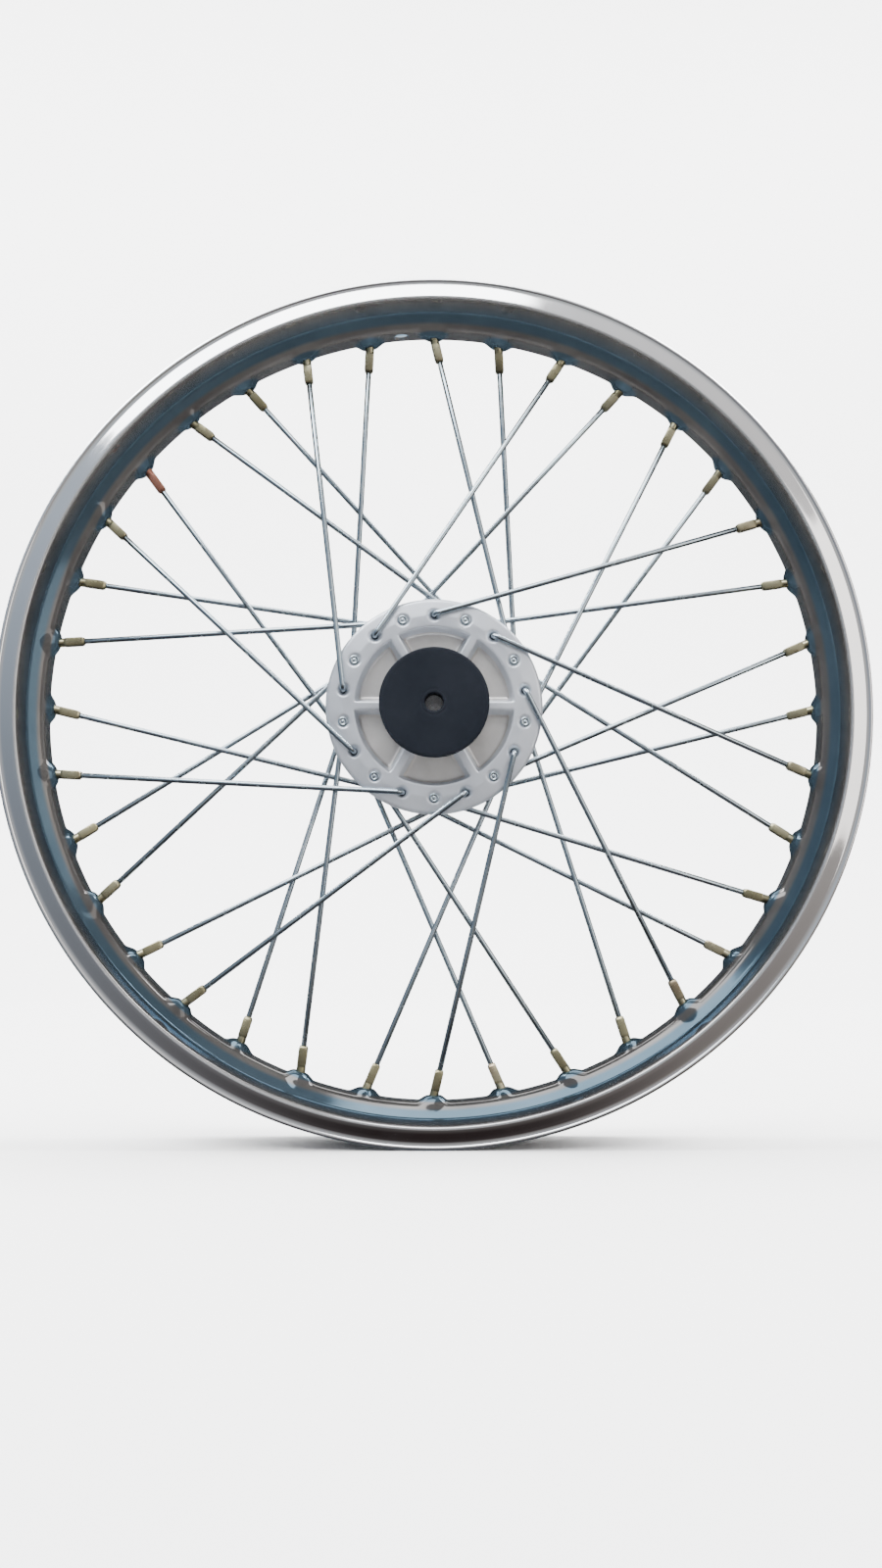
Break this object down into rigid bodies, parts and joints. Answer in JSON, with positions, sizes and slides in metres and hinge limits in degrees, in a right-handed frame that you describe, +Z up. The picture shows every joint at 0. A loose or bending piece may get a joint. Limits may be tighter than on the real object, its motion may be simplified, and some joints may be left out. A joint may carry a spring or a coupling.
{
  "type": "spoked wheel",
  "caption": "Wire-spoked motorcycle front wheel without a tyre: chromed rim, laced spokes with square nipples, ribbed cast hub on sealed ball bearings.",
  "frame": {"origin": "the wheel's centre: on the axle's line, midway between the rim's two edges", "axes": "+Y along the axle towards the brake-disc side, the ribbed hub face looks to -Y, +Z up, the valve hole is near the top"},
  "size_m": [0.48, 0.0781, 0.48],
  "materials": {
    "chromed_steel": "bright decorative chrome on rolled steel sheet",
    "painted_aluminium": "satin silver paint on an aluminium casting",
    "passivated_brass": "yellow-passivated plating, slightly iridescent",
    "zinc_plated_steel": "bright blue-white zinc plating",
    "bearing_steel": "ground bearing steel",
    "pressed_steel": "pressed steel strip",
    "seal_rubber": "nitrile rubber on a steel ring",
    "black_plastic": "matte moulded black plastic"
  },
  "bodies": {
    "axle_stack": {"near_bearing_inner_race": "bearing_steel", "far_bearing_inner_race": "bearing_steel", "distance_tube": "zinc_plated_steel", "near_dust_cover": "black_plastic", "far_collar": "zinc_plated_steel"},
    "wheel": {"rim": "chromed_steel", "hub_shell": "painted_aluminium", "nipples": "passivated_brass", "near_outer_spoke_1": "zinc_plated_steel", "near_outer_spoke_2": "zinc_plated_steel", "near_outer_spoke_3": "zinc_plated_steel", "near_outer_spoke_4": "zinc_plated_steel", "near_outer_spoke_5": "zinc_plated_steel", "near_outer_spoke_6": "zinc_plated_steel", "near_outer_spoke_7": "zinc_plated_steel", "near_outer_spoke_8": "zinc_plated_steel", "near_outer_spoke_9": "zinc_plated_steel", "near_inner_spoke_1": "zinc_plated_steel", "near_inner_spoke_2": "zinc_plated_steel", "near_inner_spoke_3": "zinc_plated_steel", "near_inner_spoke_4": "zinc_plated_steel", "near_inner_spoke_5": "zinc_plated_steel", "near_inner_spoke_6": "zinc_plated_steel", "near_inner_spoke_7": "zinc_plated_steel", "near_inner_spoke_8": "zinc_plated_steel", "near_inner_spoke_9": "zinc_plated_steel", "far_outer_spoke_1": "zinc_plated_steel", "far_outer_spoke_2": "zinc_plated_steel", "far_outer_spoke_3": "zinc_plated_steel", "far_outer_spoke_4": "zinc_plated_steel", "far_outer_spoke_5": "zinc_plated_steel", "far_outer_spoke_6": "zinc_plated_steel", "far_outer_spoke_7": "zinc_plated_steel", "far_outer_spoke_8": "zinc_plated_steel", "far_outer_spoke_9": "zinc_plated_steel", "far_inner_spoke_1": "zinc_plated_steel", "far_inner_spoke_2": "zinc_plated_steel", "far_inner_spoke_3": "zinc_plated_steel", "far_inner_spoke_4": "zinc_plated_steel", "far_inner_spoke_5": "zinc_plated_steel", "far_inner_spoke_6": "zinc_plated_steel", "far_inner_spoke_7": "zinc_plated_steel", "far_inner_spoke_8": "zinc_plated_steel", "far_inner_spoke_9": "zinc_plated_steel", "near_bearing_outer_race": "bearing_steel", "near_bearing_shields": "seal_rubber", "far_bearing_outer_race": "bearing_steel", "far_bearing_shields": "seal_rubber", "near_oil_seal": "seal_rubber", "far_oil_seal": "seal_rubber"},
    "near_ball_set": {"near_bearing_balls": "bearing_steel", "near_bearing_cage": "pressed_steel"},
    "far_ball_set": {"far_bearing_balls": "bearing_steel", "far_bearing_cage": "pressed_steel"}
  },
  "joints": [
    {"name": "wheel_spin", "type": "hinge", "parent": "axle_stack", "child": "wheel", "pos_m": [0, 0, 0], "axis": [0, 1, 0], "continuous": true},
    {"name": "near_ball_orbit", "type": "hinge", "parent": "axle_stack", "child": "near_ball_set", "pos_m": [0, -0.0145, 0], "axis": [0, 1, 0], "continuous": true},
    {"name": "far_ball_orbit", "type": "hinge", "parent": "axle_stack", "child": "far_ball_set", "pos_m": [0, 0.0315, 0], "axis": [0, 1, 0], "continuous": true}
  ],
  "couplings": [
    {"joint": "near_ball_orbit", "follows": "wheel_spin", "ratio": 0.65},
    {"joint": "far_ball_orbit", "follows": "wheel_spin", "ratio": 0.65}
  ]
}
